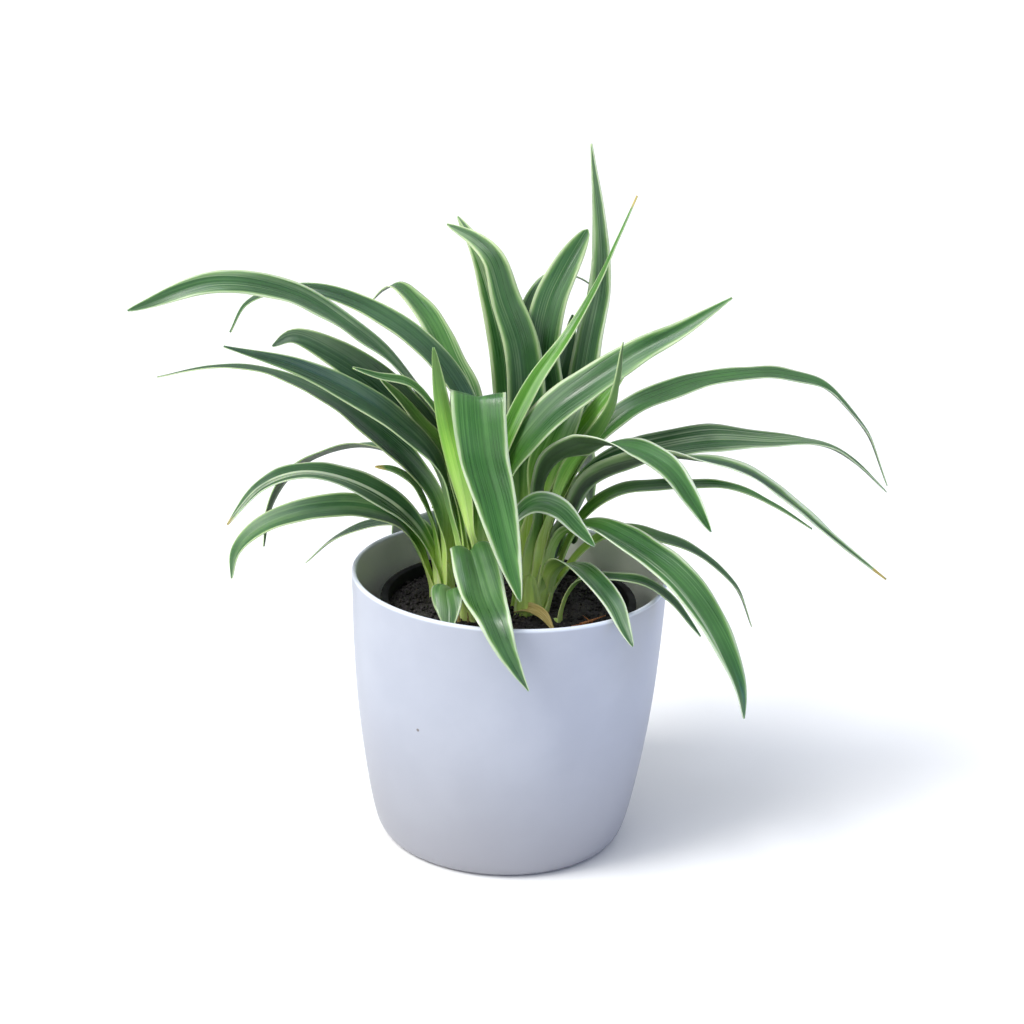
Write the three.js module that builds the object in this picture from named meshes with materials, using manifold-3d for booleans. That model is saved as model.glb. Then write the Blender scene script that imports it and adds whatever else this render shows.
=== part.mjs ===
// A potted spider plant: a clump of arching, cream-edged leaves in a black grower's pot,
// set inside a plain white planter. Millimetres, +Z up, +Y to the back.
// The origin is the middle of the planter's base, on the surface it stands on.
import * as THREE from "three";
import * as BufferGeometryUtils from "three/addons/utils/BufferGeometryUtils.js";
import Module from "manifold-3d";

const wasm = await Module();
wasm.setup();

// ---------- driving dimensions ----------
const CLEARANCE = 0.3; // gap between pieces that rest on each other

const PLANTER_HEIGHT = 124;
const PLANTER_RIM_RADIUS = 70;
const PLANTER_WALL = 2;
const PLANTER_RIM_ROUND = 0.6;
const PLANTER_FLOOR = 3;
const PLANTER_SIDES = 64;
// outside of the planter from foot to rim: [radius, height]
const PLANTER_OUTSIDE = [
  [50, 0], [53.4, 1.2], [56, 5], [58.2, 12], [61, 26], [64.2, 46],
  [66.8, 68], [68.6, 92], [PLANTER_RIM_RADIUS, PLANTER_HEIGHT - 1],
];

const GROWER_POT_TOP = 112;
const GROWER_POT_LIP_RADIUS = 57;
const GROWER_POT_LIP_DEPTH = 6;
const GROWER_POT_MOUTH_RADIUS = 53.5;
const GROWER_POT_FOOT_RADIUS = 40;
const GROWER_POT_WALL = 1.4;
const GROWER_POT_SIDES = 48;
const DRAIN_HOLE_RADIUS = 4;
const DRAIN_HOLE_RING = 26;
const DRAIN_HOLES = 6;

const SOIL_TOP = 108;
const SOIL_EDGE_DROP = 1.5; // the surface falls a little towards the pot's wall
const SOIL_SIDES = 48;

const CROWN_SIDES = 20;
const CROWN_FOOT_DEPTH = 13; // how far the foot of a crown goes down into the soil
// side of a crown above the soil, as shares of its radius and its height
const CROWN_SIDE = [[0.86, 0], [1, 0.3], [0.92, 0.62], [0.62, 0.88]];

const BLADE_THICKNESS = 0.8;
const BLADE_TIP_WIDTH = 1.2;
const BLADE_ROOT_SHARE = 0.42; // width at the root as a share of the widest place
const BLADE_OPEN_AT = 0.4; // share of the length at which the full width is reached
const BLADE_TAPER_START = 3.2; // the higher, the nearer to the tip the taper starts
const BLADE_TAPER_FULLNESS = 0.85; // below 1 the tip is rounded, above 1 it is drawn out
const BLADE_ROOT_FOLD = 36; // degrees that each half is folded up at the root
const BLADE_FOLD = 15; // and along the blade
const BLADE_FLAT_AT = 0.45; // share of the length at which the fold has opened
const BLADE_STEPS = 14;

// Crowns: where a rosette of leaves stands in the soil, and how stout it is.
const CROWNS = {
  left: { at: [-29, 7], radius: 9, height: 40, foot: 6 },
  front: { at: [-14, -15], radius: 11, height: 44, foot: 7 },
  right: { at: [12, 2], radius: 11, height: 42, foot: 7 },
  back: { at: [10, 24], radius: 10, height: 42, foot: 6.5 },
  young: { at: [21, -17], radius: 4, height: 9, foot: 3 },
};

// Leaves. heading: degrees, 0 to the right, 90 to the back. width: at the widest place.
// turn: how far the left edge is raised, in degrees, from root to tip.
// spine: points from root to tip, [out from the crown's axis, height, and sideways to the left].
const LEAVES = [
  { name: "leaf_front_01", crown: "front", heading: 188, width: 15, turn: [-10, 0, -30, -80],
    spine: [[4, 148], [8, 168], [14, 188], [27, 208], [50, 232], [82, 252], [112, 257], [149, 245]] },
  { name: "leaf_front_02", crown: "front", heading: 172, width: 18, turn: [-10, -25, -50, -60],
    spine: [[1, 151], [3, 178], [8, 204], [22, 224], [44, 240], [70, 249], [90, 248], [104, 241],
      [111, 228]] },
  { name: "leaf_front_03", crown: "front", heading: 130, width: 16, turn: [0, 5, -15],
    spine: [[7, 147, -1], [11, 176, -3], [15, 202, -2], [27, 221], [44, 236], [62, 243],
      [73, 239], [81, 233]] },
  { name: "leaf_front_04", crown: "front", heading: 205, width: 18, turn: [-15, -30, -60, -70],
    spine: [[10, 136, 2], [16, 158, 3], [23, 181, 2], [40, 200], [62, 216], [84, 228], [115, 239]] },
  { name: "leaf_front_05", crown: "front", heading: 176, width: 20, turn: [-10, -20, -60, -75],
    spine: [[9, 134, -4], [14, 158, -4], [21, 182, -2], [33, 199], [48, 213], [65, 224],
      [82, 230], [91, 225]] },
  { name: "leaf_front_06", crown: "front", heading: 184, width: 9, turn: [-20, -30, -45],
    spine: [[7, 142, -1], [11, 164, -2], [16, 182, -3], [27, 196, -2], [36, 207, -1], [44, 215]] },
  { name: "leaf_front_07", crown: "front", heading: 212, width: 7, turn: [-20, -30, -45],
    spine: [[8, 140, 3], [13, 165, 3], [17, 187, 2], [25, 206, 1], [36, 218], [51, 223], [63, 228]] },
  { name: "leaf_front_08", crown: "front", heading: 232, width: 9, turn: [0, 20, 35, 38],
    spine: [[9, 142, 5], [13, 152, 5], [19, 175, 4], [25, 202], [34, 236]] },
  { name: "leaf_front_09", crown: "front", heading: 270, width: 25, turn: [0, 0, 0], steps: 20,
    spine: [[7, 146], [12, 175, -1], [15, 203, -2], [21, 214, -2], [26, 206, -1], [30, 189, 2],
      [36, 174, 7], [43, 150, 14], [48, 134, 19]] },
  { name: "leaf_front_10", crown: "front", heading: 285, width: 22, turn: [0, 15, 15], steps: 18,
    spine: [[7, 122, -3], [12, 136, -6], [18, 145, -8], [30, 141, -8], [46, 134, -8], [61, 129, -7],
      [68, 120, -4], [72, 112], [73, 103, 5]] },
  { name: "leaf_front_11", crown: "front", heading: 245, width: 17, turn: [0, 0, 0],
    spine: [[8, 114], [14, 121], [22, 126, -3], [30, 121, 2], [36, 114, 5]] },
  { name: "leaf_front_12", crown: "front", heading: 30, width: 10, turn: [55, 50, 10, 0],
    spine: [[3, 150, -1], [6, 170, -1], [11, 188, -1], [24, 211], [41, 232], [56, 256], [64, 273],
      [72, 290]] },
  { name: "leaf_front_13", crown: "front", heading: 8, width: 20, turn: [0, 25, 40, 50, 60],
    spine: [[7, 143], [10, 162], [16, 181], [29, 200], [45, 213], [63, 226], [84, 238], [105, 252]] },
  { name: "leaf_front_14", crown: "front", heading: 340, width: 14, turn: [10, 30, 50],
    spine: [[9, 128], [13, 146], [19, 158], [27, 164], [36, 163], [45, 156], [53, 149]] },

  { name: "leaf_left_01", crown: "left", heading: 208, width: 16, turn: [-55, -45, -15, 0],
    spine: [[6, 124], [12, 138], [27, 155], [48, 168], [71, 174], [88, 170], [103, 155]] },
  { name: "leaf_left_02", crown: "left", heading: 192, width: 16, turn: [-20, -25, -30],
    spine: [[7, 114], [13, 131], [22, 144], [40, 151], [64, 150], [84, 142], [93, 132], [95, 120]] },
  { name: "leaf_left_03", crown: "left", heading: 160, width: 13, turn: [5, 15, 15],
    spine: [[6, 142, -3], [11, 158, -3], [22, 169], [40, 172], [60, 166], [77, 153], [87, 136],
      [90, 117]] },
  { name: "leaf_left_04", crown: "left", heading: 182, width: 18, turn: [-70, -30, 0, 0],
    spine: [[3, 148], [7, 158], [16, 169], [36, 187], [58, 201], [83, 210], [103, 211], [127, 206]] },
  { name: "leaf_left_05", crown: "left", heading: 198, width: 8, turn: [-20, -20, -20],
    spine: [[6, 140], [11, 153], [17, 163], [25, 169], [33, 171]] },
  { name: "leaf_left_06", crown: "left", heading: 150, width: 13, turn: [0, -10, -15],
    spine: [[6, 126], [12, 136], [26, 137], [44, 131], [61, 121], [76, 107]] },
  { name: "leaf_left_07", crown: "left", heading: 112, width: 16, turn: [0, 0, 0],
    spine: [[7, 120], [16, 130], [32, 134], [52, 127], [70, 108]] },

  { name: "leaf_right_01", crown: "right", heading: 335, width: 13, turn: [0, -30, -15, 0, 5],
    spine: [[6, 147, -1], [9, 160], [13, 172, 2], [21, 186, 4], [32, 203, -2], [38, 219, -9],
      [40, 237, -11]] },
  { name: "leaf_right_02", crown: "right", heading: 18, width: 16, turn: [0, 20, 5, 15, 20],
    spine: [[7, 146], [13, 160, 1], [21, 176, 1], [35, 192], [58, 203], [96, 209], [130, 203],
      [155, 180], [169, 153]] },
  { name: "leaf_right_03", crown: "right", heading: 328, width: 17, turn: [0, -15, -45, 12, 32, 50],
    spine: [[3, 148, -2], [4, 166, -5], [12, 180, -8], [29, 189, -6], [46, 190, -1], [62, 185], [75, 173],
      [85, 161]] },
  { name: "leaf_right_04", crown: "right", heading: 350, width: 16, turn: [-70, -50, 0, 10, 20],
    spine: [[10, 141], [14, 152], [20, 165], [36, 176], [60, 182], [90, 178], [112, 165], [131, 151],
      [153, 136]] },
  { name: "leaf_right_05", crown: "right", heading: 12, width: 19, turn: [10, 20, 28, -5, 10],
    spine: [[10, 134, 5], [17, 154, 5], [26, 167, 4], [43, 176, 2], [75, 182], [105, 181], [130, 178],
      [145, 170], [161, 156]] },
  { name: "leaf_right_06", crown: "right", heading: 6, width: 13, turn: [5, 8, 10, 25],
    spine: [[9, 118], [15, 138], [22, 151], [34, 160], [60, 164], [86, 163], [105, 155], [123, 144]] },
  { name: "leaf_right_07", crown: "right", heading: 322, width: 19, turn: [0, 0, 15, 20, 5],
    spine: [[8, 126], [10, 137], [15, 145], [28, 151], [46, 150], [69, 143], [86, 132], [100, 117],
      [110, 99], [113, 87]] },
  { name: "leaf_right_08", crown: "right", heading: 6, width: 12, turn: [0, 8, 5],
    spine: [[8, 113], [14, 124], [23, 135], [38, 142], [58, 138], [76, 129], [90, 116], [99, 97]] },
  { name: "leaf_right_09", crown: "right", heading: 302, width: 14, turn: [-20, -15, 5, 30],
    spine: [[8, 113], [11, 124], [18, 132], [31, 136], [48, 134], [62, 129], [70, 122], [77, 116]] },
  { name: "leaf_right_10", crown: "right", heading: 46, width: 17, turn: [30, 30, 30],
    spine: [[3, 149, 4], [6, 168, 4], [12, 185, 1], [20, 198], [29, 206]] },
  { name: "leaf_right_11", crown: "right", heading: 39, width: 8, turn: [20, 20, 20],
    spine: [[5, 147, 2], [9, 160, 3], [15, 175, 3], [28, 192], [41, 206, -1], [51, 217]] },
  { name: "leaf_right_12", crown: "right", heading: 60, width: 16, turn: [0, 0, 0],
    spine: [[8, 122], [15, 132], [24, 134], [33, 127]] },

  { name: "leaf_back_01", crown: "back", heading: 158, width: 18, turn: [-60, -65, -65],
    spine: [[4, 137, 2], [5, 152, 4], [5, 174, 4], [4, 198, 5], [7, 222, 6], [16, 241, 4], [23, 258, 3],
      [33, 265, 1], [47, 270]] },
  { name: "leaf_back_02", crown: "back", heading: 135, width: 16, turn: [-45, -45, -45],
    spine: [[8, 144, 1], [12, 166], [17, 188], [22, 212], [31, 236], [42, 256], [56, 269]] },
  { name: "leaf_back_03", crown: "back", heading: 45, width: 20, turn: [45, 45, 45],
    spine: [[5, 149, -2], [6, 172, -2], [5, 196], [2, 218, 2], [5, 240, 1], [11, 252], [19, 262],
      [26, 270]] },
  { name: "leaf_back_04", crown: "back", heading: 20, width: 16, turn: [20, 40, 35, 30],
    spine: [[9, 142], [14, 164, -1], [18, 187, -1], [22, 218, -1], [27, 248], [25, 276], [19, 310]] },
  { name: "leaf_back_05", crown: "back", heading: 146, width: 12, turn: [-30, -30, -30],
    spine: [[9, 126], [16, 142], [20, 160, -2], [22, 184, -5], [24, 200, -6], [26, 210, -6]] },
  { name: "leaf_back_06", crown: "back", heading: 20, width: 13, turn: [60, 60, 20, -8],
    spine: [[3, 149, 7], [3, 178, 7], [-3, 210, 10], [-3, 232, 11], [5, 247, 12], [11, 250, 11],
      [21, 248, 11], [26, 245, 10]] },
  { name: "leaf_back_07", crown: "back", heading: 60, width: 15, turn: [30, 30, 30],
    spine: [[10, 134], [13, 150], [14, 168], [13, 185], [14, 202, -2], [17, 217, -4],
      [20, 232, -4]] },
  { name: "leaf_back_08", crown: "back", heading: 74, width: 18, turn: [0, 0, 0],
    spine: [[8, 116], [17, 134], [36, 155], [64, 156], [90, 138], [106, 112]] },
  { name: "leaf_back_09", crown: "back", heading: 100, width: 18, turn: [0, 0, 0],
    spine: [[8, 126], [15, 150], [34, 172], [64, 172], [92, 152], [108, 124]] },
  { name: "leaf_back_11", crown: "back", heading: 140, width: 16, turn: [0, 0, 0],
    spine: [[8, 112], [17, 128], [33, 142], [50, 142], [62, 130]] },

  { name: "leaf_young", crown: "young", heading: 340, width: 9, turn: [0, 5, 5],
    spine: [[3, 112], [6, 122], [12, 129], [24, 132], [40, 132], [52, 126], [66, 112]] },
];

// A withered leaf that lies curled on the soil, touching it at both ends.
const DRY_LEAF_REST = SOIL_TOP + CLEARANCE + BLADE_THICKNESS / 2;
const DRY_LEAF = { name: "leaf_withered", crown: "right", heading: 295, width: 4.5, turn: [0, 10, -10],
  spine: [[6, DRY_LEAF_REST, -12], [13, 112, -9], [22, 112, -7], [34, DRY_LEAF_REST, -7]] };

// ---------- materials ----------
function finish(colour, roughness) {
  return new THREE.MeshStandardMaterial({ color: colour, roughness, metalness: 0 });
}

const PLANTER_FINISH = [0xd4d9e6, 0.42];
const GROWER_POT_FINISH = [0x1d1e22, 0.5];
const SOIL_FINISH = [0x241d19, 0.95];
const SHEATH_FINISH = [0xa9bb63, 0.45];
const BLADE_FINISH = [0x3f7a45, 0.38];
const DRY_FINISH = [0xb99a62, 0.7];

// ---------- helpers ----------
function smooth(low, high, value) {
  return THREE.MathUtils.smoothstep(value, low, high);
}

function solidOf(geometry) {
  const bare = geometry.index ? geometry.clone() : BufferGeometryUtils.mergeVertices(geometry);
  bare.deleteAttribute("normal");
  bare.deleteAttribute("uv");
  const merged = BufferGeometryUtils.mergeVertices(bare);
  const vertProperties = merged.getAttribute("position").array;
  const triVerts = new Uint32Array(merged.getIndex().array);
  return new wasm.Manifold(new wasm.Mesh({ numProp: 3, vertProperties, triVerts }));
}

function geometryOf(solid) {
  const mesh = solid.getMesh();
  const geometry = new THREE.BufferGeometry();
  geometry.setAttribute("position", new THREE.BufferAttribute(mesh.vertProperties.slice(), 3));
  geometry.setIndex(new THREE.BufferAttribute(mesh.triVerts.slice(), 1));
  return geometry;
}

function turned(profile, sides) {
  const points = profile.map(([radius, height]) => new THREE.Vector2(radius, height));
  return new THREE.LatheGeometry(points, sides).rotateX(Math.PI / 2);
}

function upright(radius, low, high, sides) {
  const geometry = new THREE.CylinderGeometry(radius, radius, high - low, sides).rotateX(Math.PI / 2);
  return geometry.translate(0, 0, (low + high) / 2);
}

const plant = new THREE.Group();

function addPiece(name, geometry, [colour, roughness]) {
  const piece = new THREE.Mesh(geometry, finish(colour, roughness));
  piece.name = name;
  plant.add(piece);
}

function largestBody(solid) {
  const bodies = solid.decompose();
  return bodies.reduce((best, body) => (body.volume() > best.volume() ? body : best));
}

// ---------- leaves ----------
function spineOf(leaf) {
  const [x, y] = CROWNS[leaf.crown].at;
  const angle = THREE.MathUtils.degToRad(leaf.heading);
  const outward = new THREE.Vector3(Math.cos(angle), Math.sin(angle), 0);
  const left = new THREE.Vector3(-Math.sin(angle), Math.cos(angle), 0);
  const points = leaf.spine.map(([out, height, sideways = 0]) =>
    new THREE.Vector3(x, y, height).addScaledVector(outward, out).addScaledVector(left, sideways));
  return { left, curve: new THREE.CatmullRomCurve3(points, false, "centripetal") };
}

function turnAt(turns, share) {
  const place = share * (turns.length - 1);
  const index = Math.min(Math.floor(place), turns.length - 2);
  return THREE.MathUtils.degToRad(THREE.MathUtils.lerp(turns[index], turns[index + 1], place - index));
}

function halfWidthAt(leaf, share) {
  const opening = BLADE_ROOT_SHARE + (1 - BLADE_ROOT_SHARE) * smooth(0, BLADE_OPEN_AT, share);
  const taper = Math.pow(1 - Math.pow(share, BLADE_TAPER_START), BLADE_TAPER_FULLNESS);
  return (leaf.width * opening * taper + BLADE_TIP_WIDTH * share) / 2;
}

// The six corners of a leaf's V-shaped section: left edge, midrib and right edge, above and below.
function sectionAt(leaf, { left, curve }, share, margin) {
  const along = curve.getTangentAt(share);
  const side = left.clone().addScaledVector(along, -left.dot(along)).normalize();
  const turn = turnAt(leaf.turn, share);
  side.applyAxisAngle(along, turn);
  const up = along.clone().cross(side);
  const fold = THREE.MathUtils.degToRad(
    THREE.MathUtils.lerp(BLADE_ROOT_FOLD, BLADE_FOLD, smooth(0, BLADE_FLAT_AT, share)));
  const middle = curve.getPointAt(share);
  if (share === 0) middle.addScaledVector(along, -margin);
  if (share === 1) middle.addScaledVector(along, margin);
  const half = halfWidthAt(leaf, share) + margin;
  const lift = (BLADE_THICKNESS / 2 + margin) / Math.cos(fold);
  const corner = (across, above) => middle.clone()
    .addScaledVector(side, across * half * Math.cos(fold))
    .addScaledVector(up, Math.abs(across) * half * Math.sin(fold) + above * lift);
  return [corner(1, 1), corner(0, 1), corner(-1, 1), corner(-1, -1), corner(0, -1), corner(1, -1)];
}

// Both faces are split along the same diagonals, so that a twisted blade never crosses itself.
function blade(leaf, margin = 0) {
  const spine = spineOf(leaf);
  const steps = leaf.steps ?? BLADE_STEPS;
  const positions = [];
  const triangles = [];
  for (let step = 0; step <= steps; step += 1) {
    const corners = sectionAt(leaf, spine, step / steps, margin);
    corners.forEach((corner) => positions.push(corner.x, corner.y, corner.z));
  }
  for (let step = 0; step < steps; step += 1) {
    for (let corner = 0; corner < 6; corner += 1) {
      const a = step * 6 + corner;
      const b = step * 6 + ((corner + 1) % 6);
      const c = b + 6;
      const d = a + 6;
      const below = corner === 3 || corner === 4;
      triangles.push(...(below ? [a, b, d, b, c, d] : [a, b, c, a, c, d]));
    }
  }
  const end = steps * 6;
  triangles.push(0, 5, 1, 1, 5, 4, 1, 4, 2, 2, 4, 3);
  triangles.push(end, end + 1, end + 5, end + 1, end + 4, end + 5);
  triangles.push(end + 1, end + 2, end + 4, end + 2, end + 3, end + 4);
  const geometry = new THREE.BufferGeometry();
  geometry.setAttribute("position", new THREE.Float32BufferAttribute(positions, 3));
  geometry.setIndex(triangles);
  return geometry;
}

LEAVES.forEach((leaf) => addPiece(leaf.name, blade(leaf), BLADE_FINISH));
addPiece(DRY_LEAF.name, blade(DRY_LEAF), DRY_FINISH);

// ---------- crowns ----------
// A crown is the pale stub of packed leaf sheaths. Its foot stands in the soil and each leaf
// grows out of a slot in it.
function crownGeometry({ at: [x, y], radius, height, foot }) {
  const seat = SOIL_TOP + CLEARANCE;
  const side = CROWN_SIDE.map(([across, up]) => [radius * across, seat + height * up]);
  const profile = [
    [0, SOIL_TOP - CROWN_FOOT_DEPTH], [foot, SOIL_TOP - CROWN_FOOT_DEPTH], [foot, seat],
    ...side, [0, seat + height],
  ];
  return turned(profile, CROWN_SIDES).translate(x, y, 0);
}

const slots = LEAVES.map((leaf) => solidOf(blade(leaf, CLEARANCE)));
Object.entries(CROWNS).forEach(([name, crown]) => {
  const stub = slots.reduce((rest, slot) => rest.subtract(slot), solidOf(crownGeometry(crown)));
  addPiece(`crown_${name}`, geometryOf(largestBody(stub)), SHEATH_FINISH);
});

// ---------- planter ----------
function planterGeometry() {
  const inside = PLANTER_OUTSIDE.slice(3).map(([radius, height]) => [radius - PLANTER_WALL, height]);
  const rim = [
    [PLANTER_RIM_RADIUS - PLANTER_RIM_ROUND, PLANTER_HEIGHT],
    [PLANTER_RIM_RADIUS - PLANTER_WALL + PLANTER_RIM_ROUND, PLANTER_HEIGHT],
  ];
  const floor = [[PLANTER_OUTSIDE[0][0], PLANTER_FLOOR], [0, PLANTER_FLOOR]];
  const profile = [[0, 0], ...PLANTER_OUTSIDE, ...rim, ...inside.reverse(), ...floor];
  return turned(profile, PLANTER_SIDES);
}
addPiece("planter", planterGeometry(), PLANTER_FINISH);

// ---------- grower's pot ----------
const growerFoot = PLANTER_FLOOR + CLEARANCE;
const growerFloor = growerFoot + GROWER_POT_WALL;
const lipFoot = GROWER_POT_TOP - GROWER_POT_LIP_DEPTH;

function growerPotGeometry() {
  const profile = [
    [0, growerFoot], [GROWER_POT_FOOT_RADIUS, growerFoot],
    [GROWER_POT_MOUTH_RADIUS + GROWER_POT_WALL, lipFoot], [GROWER_POT_LIP_RADIUS, lipFoot],
    [GROWER_POT_LIP_RADIUS, GROWER_POT_TOP], [GROWER_POT_MOUTH_RADIUS, GROWER_POT_TOP],
    [GROWER_POT_MOUTH_RADIUS, lipFoot], [GROWER_POT_FOOT_RADIUS - GROWER_POT_WALL, growerFloor],
    [0, growerFloor],
  ];
  const cup = solidOf(turned(profile, GROWER_POT_SIDES));
  const holes = Array.from({ length: DRAIN_HOLES }, (_, index) => {
    const angle = (index / DRAIN_HOLES) * Math.PI * 2;
    const hole = upright(DRAIN_HOLE_RADIUS, growerFoot - 1, growerFloor + 1, 12);
    return solidOf(hole.translate(Math.cos(angle) * DRAIN_HOLE_RING, Math.sin(angle) * DRAIN_HOLE_RING, 0));
  });
  return geometryOf(holes.reduce((rest, hole) => rest.subtract(hole), cup));
}
addPiece("grower_pot", growerPotGeometry(), GROWER_POT_FINISH);

// ---------- soil ----------
function soilGeometry() {
  const foot = GROWER_POT_FOOT_RADIUS - GROWER_POT_WALL - CLEARANCE;
  const edge = GROWER_POT_MOUTH_RADIUS - CLEARANCE;
  const profile = [
    [0, growerFloor + CLEARANCE], [foot, growerFloor + CLEARANCE], [edge, lipFoot],
    [edge, SOIL_TOP - SOIL_EDGE_DROP], [edge * 0.8, SOIL_TOP], [0, SOIL_TOP],
  ];
  const fill = solidOf(turned(profile, SOIL_SIDES));
  const holes = Object.values(CROWNS).map(({ at: [x, y], foot: radius }) => {
    const low = SOIL_TOP - CROWN_FOOT_DEPTH - CLEARANCE;
    const hole = upright(radius + CLEARANCE, low, SOIL_TOP + 1, CROWN_SIDES);
    return solidOf(hole.translate(x, y, 0));
  });
  return geometryOf(holes.reduce((rest, hole) => rest.subtract(hole), fill));
}
addPiece("potting_soil", soilGeometry(), SOIL_FINISH);

export default plant;
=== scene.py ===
"""The finished looks of a potted spider plant: arching cream-edged leaves in dark compost,
in a black grower's pot inside a satin white planter. Metres, +Z up, +Y to the back."""
import math

import bpy
import numpy as np
from mathutils import Matrix, Vector


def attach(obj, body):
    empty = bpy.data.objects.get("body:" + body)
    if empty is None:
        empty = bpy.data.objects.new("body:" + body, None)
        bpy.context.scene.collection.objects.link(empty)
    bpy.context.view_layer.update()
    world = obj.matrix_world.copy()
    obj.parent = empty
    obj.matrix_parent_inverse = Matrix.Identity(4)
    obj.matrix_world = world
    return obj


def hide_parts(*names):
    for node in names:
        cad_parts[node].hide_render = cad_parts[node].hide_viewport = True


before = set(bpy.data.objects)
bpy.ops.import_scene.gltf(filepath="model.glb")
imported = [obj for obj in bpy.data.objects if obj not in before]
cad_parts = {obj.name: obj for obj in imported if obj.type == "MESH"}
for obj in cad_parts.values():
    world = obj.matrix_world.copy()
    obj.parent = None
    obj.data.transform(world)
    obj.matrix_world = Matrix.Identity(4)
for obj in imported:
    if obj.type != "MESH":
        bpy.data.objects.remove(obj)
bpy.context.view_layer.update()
MM = 0.001

# ---------- sizes, in mm ----------
PLANTER_HEIGHT = 124
PLANTER_RIM = 70
PLANTER_WALL = 2
# profiles are rows of (radius, height)
PLANTER_OUTSIDE = [(50, 0), (53.4, 1.2), (56, 5), (58.2, 12), (61, 26), (64.2, 46),
                   (66.8, 68), (68.6, 92), (70, 123)]
PLANTER_FLOOR = [(50, 4.2), (46, 3), (6, 3)]
PLANTER_CORNER = 9  # the inner wall begins above it
DIRT_AT = (-36.6 * MM, -56.1 * MM, 70.5 * MM)  # a crumb that dried onto the planter
GROWER_TOP = 112
GROWER_LIP = 57
GROWER_LIP_FOOT = 106
GROWER_MOUTH = 53.5
GROWER_FOOT = 40
GROWER_WALL = 1.4
GROWER_UNDERSIDE = 3.3
SOIL_TOP = 108
SOIL_RIM = 106.4  # the compost's height at the pot's wall
SOIL_EDGE = 53.2
CRUMBS = 4500
CROWN_FOOT = 104.5
SHEATH_DEPTH = 3  # a sheath starts this far under the compost's top

# a crown's leaves start around its middle, and lean is how far its foot is off from there
CROWNS = {
    "left": dict(at=(-29, 7), radius=9, height=40, lean=(0, 0)),
    "front": dict(at=(-14, -15), radius=11, height=44, lean=(2, -2)),
    "right": dict(at=(12, 2), radius=11, height=42, lean=(-3, -9)),
    "back": dict(at=(10, 24), radius=10, height=42, lean=(0, -4)),
    "young": dict(at=(21, -17), radius=4, height=9, lean=(0, 0)),
}
SOIL_SEED, WITHERED_SEED, LEAF_SEED = 3, 11, 700

# ---------- camera ----------
EYE = Vector((0, -0.950, 0.480))
PITCH, ROLL = math.radians(19.07), math.radians(2.27)
LENS, SENSOR = 80.3, 36  # in mm


def place_camera():
    ahead = Vector((0, math.cos(PITCH), -math.sin(PITCH)))
    level, upright = Vector((1, 0, 0)), Vector((0, math.sin(PITCH), math.cos(PITCH)))
    right = level * math.cos(ROLL) + upright * math.sin(ROLL)
    up = upright * math.cos(ROLL) - level * math.sin(ROLL)
    data = bpy.data.cameras.new("camera")
    data.lens, data.sensor_width = LENS, SENSOR
    data.clip_start, data.clip_end = 0.05, 50
    camera = bpy.data.objects.new("camera", data)
    bpy.context.scene.collection.objects.link(camera)
    turn = Matrix((right, up, -ahead)).transposed()
    camera.matrix_world = Matrix.Translation(EYE) @ turn.to_4x4()
    bpy.context.scene.camera = camera


# ---------- materials ----------
# Object coordinates are metres, so a Scale of 1000 there repeats about every 1 mm.
# a Mix node for colours: input 0 is the share of B in A
COLOURS = {"data_type": "RGBA"}
A, B = 6, 7
# a Map Range node that steps smoothly from input 1 to input 2, onto 3 and 4
SMOOTH = {"interpolation_type": "SMOOTHSTEP"}


def linear(text):
    """An sRGB hex value as a linear colour."""
    parts = [int(text[i:i + 2], 16) / 255 for i in (0, 2, 4)]
    return [p / 12.92 if p <= 0.04045 else ((p + 0.055) / 1.055) ** 2.4 for p in parts] + [1.0]


def add(tree, kind, inputs=None, stops=(), **settings):
    """Adds a node with its settings, a ramp's stops, and its inputs as values or links. A whole
    node as an input is linked from its first output in use."""
    made = tree.nodes.new("ShaderNode" + kind)
    for key, value in settings.items():
        setattr(made, key, value)
    for key, value in (inputs or {}).items():
        if isinstance(value, bpy.types.Node):
            value = next(output for output in value.outputs if output.enabled)
        if isinstance(value, bpy.types.NodeSocket):
            tree.links.new(value, made.inputs[key])
        else:
            made.inputs[key].default_value = value
    for index, (place, colour) in enumerate(stops):
        elements = made.color_ramp.elements
        element = elements[index] if index < len(elements) else elements.new(place)
        element.position = place
        element.color = linear(colour)
    return made


def blank_finish(name):
    """A new material and its empty node tree."""
    material = bpy.data.materials.new(name)
    material.use_nodes = True
    material.node_tree.nodes.clear()
    return material, material.node_tree


# the noises of a leaf: cycles per mm across and along the blade, a shift per leaf, and detail
VEINS = ((1.7, 0.008, 9.0), 2.0)
BANDS = ((0.22, 0.004, 5.3), 1.0)
CLOUDS = ((0.05, 0.030, 3.1), 3.0)
WOBBLE = ((0.20, 0.040, 7.7), 3.0)
PRESENCE = ((0.15, 0.012, 2.9), 2.0)
# a leaf's tones go from its dark lines to its pale ones
TONE_STOPS = (0.3, 0.5, 0.7)
NEW_GROWTH = ("478916", "70b026", "9acc4c")


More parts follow.
